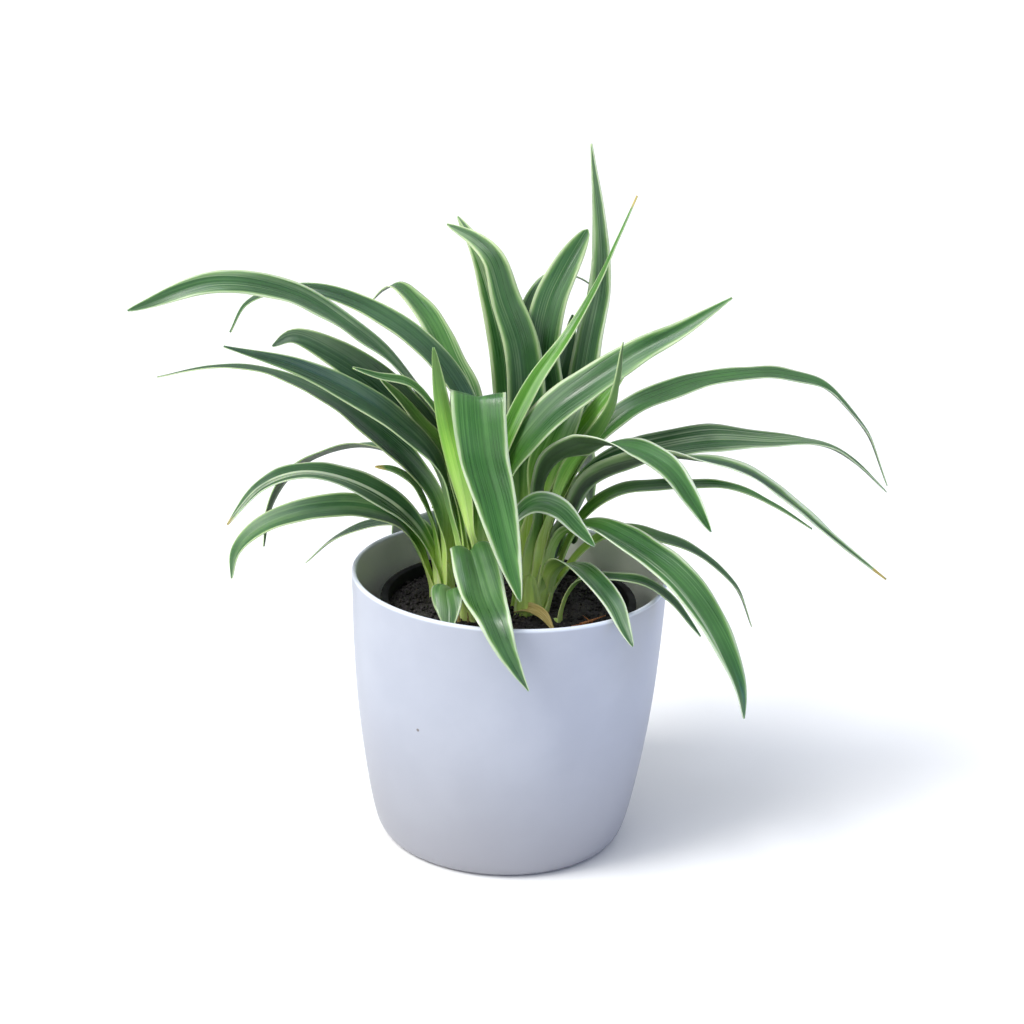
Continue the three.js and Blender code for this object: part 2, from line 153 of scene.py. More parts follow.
def leaf_finish(name, warm, cool, margin, sheath, roughness, bloom):
    """Living spider plant leaf. Its surface grew: long parallel veins, drawn 0.6 mm apart so that
    they show, give it fine lengthwise lines, and wax gives it a satin gloss broken along them."""
    material, tree = blank_finish(name)
    grain = add(tree, "Attribute", attribute_name="grain").outputs["Vector"]
    tone = add(tree, "Attribute", attribute_name="tone")
    edge = add(tree, "Attribute", attribute_name="edge").outputs["Fac"]
    kind = add(tree, "Attribute", attribute_name="kind").outputs["Vector"]
    chill, whiteness, _ = add(tree, "SeparateXYZ", {0: kind}).outputs
    pale, dry, stripe = add(tree, "SeparateColor", {0: tone.outputs["Color"]}).outputs
    young = tone.outputs["Alpha"]

    noises = []
    for scale, detail in (VEINS, BANDS, CLOUDS, WOBBLE, PRESENCE):
        place = add(tree, "VectorMath", {0: grain, 1: scale}, operation="MULTIPLY")
        noises.append(add(tree, "TexNoise", {"Vector": place, "Scale": 1.0, "Detail": detail}))
    veins, bands, clouds, wobble, presence = noises

    spread = add(tree, "Math", {0: veins, 1: 0.42}, operation="MULTIPLY")
    spread = add(tree, "Math", {0: clouds, 1: 0.44, 2: spread}, operation="MULTIPLY_ADD")
    spread = add(tree, "Math", {0: bands, 1: 0.14, 2: spread}, operation="MULTIPLY_ADD")
    green = add(tree, "ValToRGB", {0: spread}, zip(TONE_STOPS, warm))
    grey = add(tree, "ValToRGB", {0: spread}, zip(TONE_STOPS, cool))
    lime = add(tree, "ValToRGB", {0: spread}, zip(TONE_STOPS, NEW_GROWTH))
    colour = add(tree, "Mix", {0: chill, A: green, B: grey}, **COLOURS)
    colour = add(tree, "Mix", {0: young, A: colour, B: lime}, **COLOURS)

    # fine cream lines that run the length of some leaves
    lines = add(tree, "Math", {0: veins, 1: 0.7}, operation="MULTIPLY")
    lines = add(tree, "Math", {0: bands, 1: 0.9, 2: lines}, operation="MULTIPLY_ADD")
    lines = add(tree, "MapRange", {0: lines, 1: 0.84, 2: 0.93}, **SMOOTH)
    lines = add(tree, "Math", {0: lines, 1: stripe}, operation="MULTIPLY")
    worn = add(tree, "MapRange", {0: clouds, 1: 0.36, 2: 0.56, 3: 0.35, 4: 0.95}, **SMOOTH)
    lines = add(tree, "Math", {0: lines, 1: worn}, operation="MULTIPLY")
    cream = add(tree, "Mix", {0: whiteness, A: linear(margin[0]), B: linear(margin[1])}, **COLOURS)
    youth = add(tree, "Math", {0: young, 1: 0.8}, operation="MULTIPLY")
    cream = add(tree, "Mix", {0: youth, A: cream, B: linear("a9c96a")}, **COLOURS)
    colour = add(tree, "Mix", {0: lines, A: colour, B: cream}, **COLOURS)

    # the margin: cream at the edge, with a thin line of lime where it meets the green
    wander = add(tree, "Math", {0: wobble, 1: 0.5}, operation="SUBTRACT")
    wander = add(tree, "Math", {0: wander, 1: 2.4}, operation="MULTIPLY")
    depth = add(tree, "Math", {0: edge, 1: wander}, operation="ADD")
    blend = add(tree, "MapRange", {0: depth, 1: 2.6, 2: 1.0, 3: 0.0, 4: 0.5}, **SMOOTH)
    colour = add(tree, "Mix", {0: blend, A: colour, B: linear("7aa557")}, **COLOURS)
    rim = add(tree, "MapRange", {0: depth, 1: 1.5, 2: 0.6}, **SMOOTH)
    faded = add(tree, "MapRange", {0: presence, 1: 0.36, 2: 0.58, 3: 0.5, 4: 1.0}, **SMOOTH)
    rim = add(tree, "Math", {0: rim, 1: faded}, operation="MULTIPLY")
    colour = add(tree, "Mix", {0: rim, A: colour, B: cream}, **COLOURS)

    # the foot of a leaf is a pale sheath that little light has reached; its colours are painted
    # paler still, as painted light that lifts the shade between the leaves
    foot = add(tree, "ValToRGB", {0: spread}, zip(TONE_STOPS, sheath))
    foot_rim = add(tree, "Math", {0: rim, 1: 0.4}, operation="MULTIPLY")
    foot = add(tree, "Mix", {0: foot_rim, A: foot, B: linear("dfeab8")}, **COLOURS)
    colour = add(tree, "Mix", {0: pale, A: colour, B: foot}, **COLOURS)

    # tips dry to straw and brown
    crisp = add(tree, "Math", {0: wander, 1: 0.12, 2: dry}, operation="MULTIPLY_ADD")
    crisp = add(tree, "MapRange", {0: crisp, 1: 0.4, 2: 0.7}, **SMOOTH)
    straw = add(tree, "ValToRGB", {0: veins}, ((0.35, "8f7a3c"), (0.65, "c4b46a")))
    colour = add(tree, "Mix", {0: crisp, A: colour, B: straw}, **COLOURS)

    dull, bright = roughness + 0.2, roughness - 0.06
    gloss = add(tree, "MapRange", {0: spread, 1: 0.35, 2: 0.65, 3: bright, 4: dull}, **SMOOTH)
    fine = add(tree, "Bump", {"Strength": 0.9, "Distance": 0.18 * MM, "Height": veins})
    ribs = add(tree, "Bump", {"Strength": 0.35, "Distance": 0.6 * MM, "Height": bands,
                              "Normal": fine})
    shader = add(tree, "BsdfPrincipled", {
        "Base Color": colour, "Roughness": gloss, "Normal": ribs, "IOR": 1.45,
        "Specular IOR Level": 0.65, "Sheen Weight": bloom, "Sheen Roughness": 0.5,
        "Subsurface Weight": 0.2, "Subsurface Radius": (0.6, 1.0, 0.15),
        "Subsurface Scale": 1.2 * MM})
    add(tree, "OutputMaterial", {"Surface": shader})
    return material


# Upper side: deep green with a waxy gloss that takes the light in long pale patches.
LEAF_UPPER = leaf_finish(
    "Spider plant leaf, waxy upper side", warm=("1f451a", "336a26", "528b3c"),
    cool=("1e3724", "2c4934", "48674c"), margin=("adbf86", "c5d1b8"),
    sheath=("c2e462", "dcf284", "eefabc"), roughness=0.3, bloom=0.05)
# Underside: duller, with an olive cast, and its greens painted darker as shade, as it faces away
# from the light.
LEAF_UNDER = leaf_finish(
    "Spider plant leaf, dull underside", warm=("22391a", "304f22", "426531"),
    cool=("1f2d1a", "2a3c23", "3b4f32"), margin=("88a263", "aab891"),
    sheath=("bce064", "d4f088", "eafab8"), roughness=0.5, bloom=0.04)


def dry_finish(name, tones):
    """Plant matter dried on the soil: papery, paler between the fibres than along them. Its
    fibres lie about 0.45 mm apart."""
    material, tree = blank_finish(name)
    place = add(tree, "Attribute", attribute_name="grain").outputs["Vector"]
    place = add(tree, "VectorMath", {0: place, 1: (2.2, 0.08, 1)}, operation="MULTIPLY")
    fibre = add(tree, "TexNoise", {"Vector": place, "Scale": 1.0, "Detail": 4.0})
    colour = add(tree, "ValToRGB", {0: fibre}, zip((0.3, 0.48, 0.66), tones))
    gloss = add(tree, "MapRange", {0: fibre, 1: 0.3, 2: 0.7, 3: 0.55, 4: 0.8}, **SMOOTH)
    bump = add(tree, "Bump", {"Strength": 0.7, "Distance": 0.2 * MM, "Height": fibre})
    shader = add(tree, "BsdfPrincipled", {"Base Color": colour, "Roughness": gloss, "Normal": bump})
    add(tree, "OutputMaterial", {"Surface": shader})
    return material


def planter_finish():
    """Injection-moulded white ASA plastic: an even satin skin with a fine orange-peel texture,
    about 0.8 mm from crest to crest, faint haze from handling, painted shade low down, and painted
    light inside and on the lip."""
    material, tree = blank_finish("White ASA plastic, moulded satin")
    place = add(tree, "TexCoord").outputs["Object"]
    peel = add(tree, "TexNoise", {"Vector": place, "Scale": 1250.0, "Detail": 2.0})
    haze = add(tree, "TexNoise", {"Vector": place, "Scale": 24.0, "Detail": 4.0})
    skin = add(tree, "MapRange", {0: haze, 1: 0.35, 2: 0.7}, **SMOOTH)
    colour = add(tree, "Mix", {0: skin, A: linear("a9aebb"), B: linear("b0b5c1")}, **COLOURS)

    # painted shade greys the wall towards its foot, and painted light whitens the wall inside
    height = add(tree, "SeparateXYZ", {0: place}).outputs[2]
    painted_foot_shade = add(tree, "Math", {0: haze, 1: 12 * MM, 2: height}, operation="MULTIPLY_ADD")
    painted_foot_shade = add(tree, "MapRange", {0: painted_foot_shade, 1: 100 * MM, 2: 0.0, 3: 0.0, 4: 0.8}, **SMOOTH)
    colour = add(tree, "Mix", {0: painted_foot_shade, A: colour, B: linear("8f8e93")}, **COLOURS)
    # painted light: the inner wall is painted near white, in place of light that comes through the
    # thin wall
    within = add(tree, "Attribute", attribute_name="within").outputs["Fac"]
    colour = add(tree, "Mix", {0: within, A: colour, B: linear("f0f1ea")}, **COLOURS)
    # painted highlight: the top of the thin lip is painted paler, as if light passed through it
    lip = {0: height, 1: (PLANTER_HEIGHT - 1.8) * MM, 2: (PLANTER_HEIGHT - 0.6) * MM, 4: 0.75}
    lip = add(tree, "MapRange", lip, **SMOOTH)
    colour = add(tree, "Mix", {0: lip, A: colour, B: linear("e2e8f2")}, **COLOURS)
    # one tiny crumb of compost has dried on outside, front left
    dirt = add(tree, "VectorMath", {0: place, 1: DIRT_AT}, operation="DISTANCE")
    dirt = add(tree, "MapRange", {0: dirt, 1: 0.9 * MM, 2: 0.5 * MM, 4: 0.85}, **SMOOTH)
    colour = add(tree, "Mix", {0: dirt, A: colour, B: linear("5f554c")}, **COLOURS)

    gloss = add(tree, "MapRange", {0: haze, 1: 0.3, 2: 0.75, 3: 0.38, 4: 0.47}, **SMOOTH)
    bump = add(tree, "Bump", {"Strength": 0.12, "Distance": 0.03 * MM, "Height": peel})
    shader = add(tree, "BsdfPrincipled", {
        "Base Color": colour, "Roughness": gloss, "Normal": bump, "IOR": 1.5,
        "Subsurface Weight": 0.08, "Subsurface Radius": (1.0, 1.0, 1.1),
        "Subsurface Scale": 1.0 * MM})
    add(tree, "OutputMaterial", {"Surface": shader})
    return material


def grower_finish():
    """Thermoformed black polypropylene: thin, scuffed matt in use and dusted with compost."""
    material, tree = blank_finish("Black polypropylene, thermoformed")
    place = add(tree, "TexCoord").outputs["Object"]
    dust = add(tree, "TexNoise", {"Vector": place, "Scale": 90.0, "Detail": 5.0})
    share = add(tree, "MapRange", {0: dust, 1: 0.52, 2: 0.72, 3: 0.0, 4: 0.6}, **SMOOTH)
    colour = add(tree, "Mix", {0: share, A: linear("0d0e10"), B: linear("2b2622")}, **COLOURS)
    gloss = add(tree, "MapRange", {0: dust, 1: 0.4, 2: 0.7, 3: 0.65, 4: 0.9}, **SMOOTH)
    bump = add(tree, "Bump", {"Strength": 0.3, "Distance": 0.1 * MM, "Height": dust})
    shader = add(tree, "BsdfPrincipled", {
        "Base Color": colour, "Roughness": gloss, "Normal": bump, "IOR": 1.49,
        "Specular IOR Level": 0.3})
    add(tree, "OutputMaterial", {"Surface": shader})
    return material


def compost_finish():
    """Damp peat compost: almost black, crumbly, with brown fibre and a few paler grains. Its
    grit is about 1 mm across and its crumbs 2 mm."""
    material, tree = blank_finish("Peat compost, damp and crumbled")
    place = add(tree, "TexCoord").outputs["Object"]
    crumbs = add(tree, "TexVoronoi", {"Vector": place, "Scale": 480.0, "Randomness": 1.0})
    grit = add(tree, "TexNoise", {"Vector": place, "Scale": 900.0, "Detail": 5.0})
    patches = add(tree, "TexNoise", {"Vector": place, "Scale": 60.0, "Detail": 3.0})
    tones = ((0.3, "1a1718"), (0.5, "302c2e"), (0.64, "3e393b"), (0.8, "5a5250"))
    colour = add(tree, "ValToRGB", {0: grit}, tones)
    damp = add(tree, "MapRange", {0: patches, 1: 0.4, 2: 0.65, 3: 0.0, 4: 0.5}, **SMOOTH)
    colour = add(tree, "Mix", {0: damp, A: colour, B: linear("1a1411")}, **COLOURS)
    pale = add(tree, "SeparateColor", {0: crumbs.outputs["Color"]})
    pale = add(tree, "MapRange", {0: pale, 1: 0.93, 2: 0.97, 3: 0.0, 4: 0.45}, **SMOOTH)
    colour = add(tree, "Mix", {0: pale, A: colour, B: linear("665a4e")}, **COLOURS)
    gloss = add(tree, "MapRange", {0: grit, 1: 0.3, 2: 0.7, 3: 0.6, 4: 0.95}, **SMOOTH)
    height = add(tree, "Math", {0: grit, 1: crumbs.outputs["Distance"]}, operation="SUBTRACT")
    bump = add(tree, "Bump", {"Strength": 0.9, "Distance": 0.9 * MM, "Height": height})
    shader = add(tree, "BsdfPrincipled", {"Base Color": colour, "Roughness": gloss, "Normal": bump})
    add(tree, "OutputMaterial", {"Surface": shader})
    return material


def floor_finish():
    """Painted studio floor: matt white, with the faintest clouding of a rolled coat."""
    material, tree = blank_finish("Painted studio floor, matt white")
    place = add(tree, "TexCoord").outputs["Object"]
    soft = add(tree, "TexNoise", {"Vector": place, "Scale": 6.0, "Detail": 3.0})
    colour = add(tree, "Mix", {0: soft, A: linear("f8f8f8"), B: linear("fbfbfb")}, **COLOURS)
    shader = add(tree, "BsdfPrincipled", {"Base Color": colour, "Roughness": 0.8,
                                          "Specular IOR Level": 0.2})
    add(tree, "OutputMaterial", {"Surface": shader})
    return material


DRY_LEAF = dry_finish("Withered spider plant leaf, papery dry", ("8b7642", "bda966", "d8c98e"))
DRY_ROOT = dry_finish("Dead spider plant root, dry and woody", ("7a4523", "a5643a", "c48a58"))
PLANTER = planter_finish()
GROWER = grower_finish()
COMPOST = compost_finish()
STUDIO_FLOOR = floor_finish()


# ---------- making pieces ----------
def settle(piece, slot, *nodes):
    """Puts a finished piece on the plant's one body, in place of its solid if it has one."""
    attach(piece, "root")
    if nodes:
        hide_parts(*nodes)


def start(name, adder, **settings):
    """Adds a primitive as a new object with nothing else selected."""
    bpy.ops.object.select_all(action="DESELECT")
    adder(**settings)
    piece = bpy.context.object
    piece.name = piece.data.name = name
    return piece


def apply_modifier(piece, kind, **settings):
    modifier = piece.modifiers.new(kind.lower(), kind)
    for key, value in settings.items():
        setattr(modifier, key, value)
    bpy.context.view_layer.objects.active = piece
    bpy.ops.object.modifier_apply(modifier=modifier.name)


def smooth_by_angle(piece, degrees):
    bpy.ops.object.select_all(action="DESELECT")
    piece.select_set(True)
    bpy.context.view_layer.objects.active = piece
    bpy.ops.object.shade_smooth_by_angle(angle=math.radians(degrees))


def places_of(mesh):
    """The vertices' places in metres, one to a row."""
    places = np.empty(len(mesh.vertices) * 3)
    mesh.vertices.foreach_get("co", places)
    return places.reshape(-1, 3)


def write_attribute(mesh, name, *columns):
    """Gives each vertex a number, a vector or a colour: 1, 3 or 4 columns of values."""
    kind, field = {1: ("FLOAT", "value"), 3: ("FLOAT_VECTOR", "vector"),
                   4: ("FLOAT_COLOR", "color")}[len(columns)]
    rows = np.empty((len(mesh.vertices), len(columns)))
    for index, column in enumerate(columns):
        rows[:, index] = column
    mesh.attributes.new(name, kind, "POINT").data.foreach_set(field, rows.ravel())


def curved(points, step=1.0):
    """The solids' centripetal curve through points, sampled about every step mm, and the length
    run at each sample."""
    points = [np.array(p, float) for p in points]
    points = [2 * points[0] - points[1], *points, 2 * points[-1] - points[-2]]
    line = []
    for p0, p1, p2, p3 in zip(points, points[1:], points[2:], points[3:]):
        d0, d1, d2 = (max(np.linalg.norm(b - a) ** 0.5, 1e-3)
                      for a, b in ((p0, p1), (p1, p2), (p2, p3)))
        t1 = ((p1 - p0) / d0 - (p2 - p0) / (d0 + d1) + (p2 - p1) / d1) * d1
        t2 = ((p2 - p1) / d1 - (p3 - p1) / (d1 + d2) + (p3 - p2) / d2) * d1
        count = max(int(np.linalg.norm(p2 - p1) / step), 4)
        for k in range(count):
            t = k / count
            line.append(p1 + t1 * t + (-3 * p1 + 3 * p2 - 2 * t1 - t2) * t * t
                        + (2 * p1 - 2 * p2 + t1 + t2) * t ** 3)
    line.append(points[-2])
    line = np.array(line)
    run = np.concatenate([[0], np.cumsum(np.linalg.norm(np.diff(line, axis=0), axis=1))])
    return line, run


def eased(low, high, value):
    share = np.clip((value - low) / (high - low), 0, 1)
    return share * share * (3 - 2 * share)


def turned_shell(name, profile, sides, middle=(0, 0)):
    """A round shell about a middle, in mm: a disc is extruded and scaled from one ring of its
    profile to the next."""
    x, y = (value * MM for value in middle)
    radius, height = profile[0]
    piece = start(name, bpy.ops.mesh.primitive_circle_add, vertices=sides, radius=radius * MM,
                  fill_type="NGON", location=(x, y, height * MM))
    bpy.ops.object.mode_set(mode="EDIT")
    bpy.ops.mesh.select_all(action="SELECT")
    for (r0, z0), (r1, z1) in zip(profile, profile[1:]):
        move = {"value": (0, 0, (z1 - z0) * MM)}
        bpy.ops.mesh.extrude_region_move(TRANSFORM_OT_translate=move)
        bpy.ops.transform.resize(value=(r1 / r0, r1 / r0, 1), center_override=(x, y, z1 * MM))
    bpy.ops.mesh.select_all(action="SELECT")
    bpy.ops.mesh.normals_make_consistent(inside=False)
    bpy.ops.object.mode_set(mode="OBJECT")
    bpy.ops.object.transform_apply(location=True, rotation=True, scale=True)
    return piece


# ---------- planter ----------
def make_planter():
    outside, _ = curved([(r, 0, z) for r, z in PLANTER_OUTSIDE], 2.5)
    outside = [(r, z) for r, _, z in outside]
    bend = PLANTER_WALL / 2
    lip = [(PLANTER_RIM - bend + bend * math.cos(a), PLANTER_HEIGHT - bend + bend * math.sin(a))
           for a in np.radians(np.arange(20, 180, 20))]
    inside = [(r - PLANTER_WALL, z) for r, z in reversed(outside) if z > PLANTER_CORNER]
    piece = turned_shell("planter_shell", outside + lip + inside + PLANTER_FLOOR, 160)
    place = places_of(piece.data) / MM
    radii, heights = np.transpose(outside)
    depth = np.interp(place[:, 2], heights, radii) - np.hypot(place[:, 0], place[:, 1])
    write_attribute(piece.data, "within", eased(1.0, 1.6, depth))
    piece.data.materials.append(PLANTER)
    smooth_by_angle(piece, 40)
    settle(piece, "planter", "planter")


def make_grower_pot():
    wall = GROWER_WALL
    profile = [(GROWER_FOOT, GROWER_UNDERSIDE), (GROWER_FOOT + 0.6, GROWER_UNDERSIDE + 0.6),
               (GROWER_MOUTH + wall, GROWER_LIP_FOOT), (GROWER_LIP - 0.4, GROWER_LIP_FOOT),
               (GROWER_LIP, GROWER_LIP_FOOT + 0.4), (GROWER_LIP, GROWER_TOP - 0.8),
               (GROWER_LIP - 0.3, GROWER_TOP - 0.2), (GROWER_LIP - 0.9, GROWER_TOP),
               (GROWER_MOUTH + 0.9, GROWER_TOP), (GROWER_MOUTH + 0.2, GROWER_TOP - 0.3),
               (GROWER_MOUTH, GROWER_TOP - 1), (GROWER_MOUTH - 0.1, GROWER_LIP_FOOT),
               (GROWER_FOOT - wall, GROWER_UNDERSIDE + wall + 0.6), (8, GROWER_UNDERSIDE + wall)]
    piece = turned_shell("grower_pot_shell", profile, 128)
    piece.data.materials.append(GROWER)
    smooth_by_angle(piece, 40)
    settle(piece, "grower_pot", "grower_pot")


# ---------- soil ----------
def make_soil(rng):
    """A crumbled surface over the compost, and loose crumbs pressed into it."""
    rings, sloping = 26, 5
    profile = [(GROWER_FOOT - 2, 6), (SOIL_EDGE - 1, 98), (SOIL_EDGE, 104), (SOIL_EDGE, SOIL_RIM)]
    profile += [(SOIL_EDGE * (1 - k / rings),
                 SOIL_RIM + (SOIL_TOP - SOIL_RIM) * min(1, k / sloping)) for k in range(1, rings)]
    piece = turned_shell("compost_bed", profile, 96)
    place = places_of(piece.data)
    top = place[:, 2] > (SOIL_RIM - 0.4) * MM
    # lumps on broad swells, which die out towards the pot's wall
    lumps = rng.uniform(-0.9, 0.9, top.sum())
    broad = np.sin(place[top, 0] * 210 + 1) * np.cos(place[top, 1] * 170) * 0.7
    radius = np.hypot(place[top, 0], place[top, 1]) / MM
    place[top, 2] += (lumps + broad) * MM * eased(SOIL_EDGE, SOIL_EDGE - 6, radius) - 0.4 * MM
    piece.data.vertices.foreach_set("co", place.ravel())
    piece.data.materials.append(COMPOST)
    smooth_by_angle(piece, 60)
    settle(piece, "soil", "potting_soil")

    crumb = start("compost_crumbs", bpy.ops.mesh.primitive_ico_sphere_add, subdivisions=1,
                  radius=1 * MM, location=(0, 0, 0))
    shape = places_of(crumb.data)
    faces = np.array([list(p.vertices) for p in crumb.data.polygons])
    all_places, all_faces = [], []
    for index in range(CRUMBS):
        radius = SOIL_EDGE * math.sqrt(rng.uniform(0, 0.98)) * MM
        angle = rng.uniform(0, 2 * math.pi)
        size = rng.uniform(0.3, 1.0) ** 4 * 0.9 + 0.22
        stretch = rng.uniform(0.6, 1.4, 3) * size
        lump = shape * rng.uniform(0.75, 1.25, shape.shape) * stretch
        spin = Matrix.Rotation(rng.uniform(0, 6.28), 3, Vector(rng.normal(size=3)).normalized())
        lump = lump @ np.array(spin)
        height = (SOIL_TOP - 0.2 + rng.uniform(-0.5, 0.7)) * MM
        height -= 1.4 * MM * eased(SOIL_EDGE - 10, SOIL_EDGE, radius / MM)
        all_places.append(lump + (radius * math.cos(angle), radius * math.sin(angle), height))
        all_faces.append(faces + index * len(shape))
    mesh = crumb.data
    mesh.clear_geometry()
    mesh.from_pydata(np.concatenate(all_places).tolist(), [], np.concatenate(all_faces).tolist())
    mesh.update()
    mesh.materials.append(COMPOST)
    smooth_by_angle(crumb, 80)
    settle(crumb, "soil")


# ---------- leaves ----------
# how a leaf looks where its row below says nothing else
LOOKS = {
    "cool": 0.4,  # how grey its green is, from 0 to 1
    "white": 0.3,  # how white its cream lines and margin are, from 0 to 1
    "young": 0.0,  # how far the blade has the lime green of new growth
    "stripe": 0.1,  # how strong the fine cream lines along the blade are
    "margin": 0.9,  # about the width of the cream margin, in mm
    "dry": 0.2,  # how dry the tip is
    "lime": 1.0,  # how far up the pale sheath and the lime above it reach
    "slim": 1.0,  # a factor on the width
    "taper": 3.2,  # a high value keeps the blade wide until near the tip
    "crest": (0, 0.3, 0.1),  # arched halves: degrees, where along the blade, over what share
}
BLADE_THICKNESS = 0.45
LEAF_RIPPLE = 0.45  # how high the margins wave
ARC_PARTS = 60  # the steps in which the section of half a blade is summed up
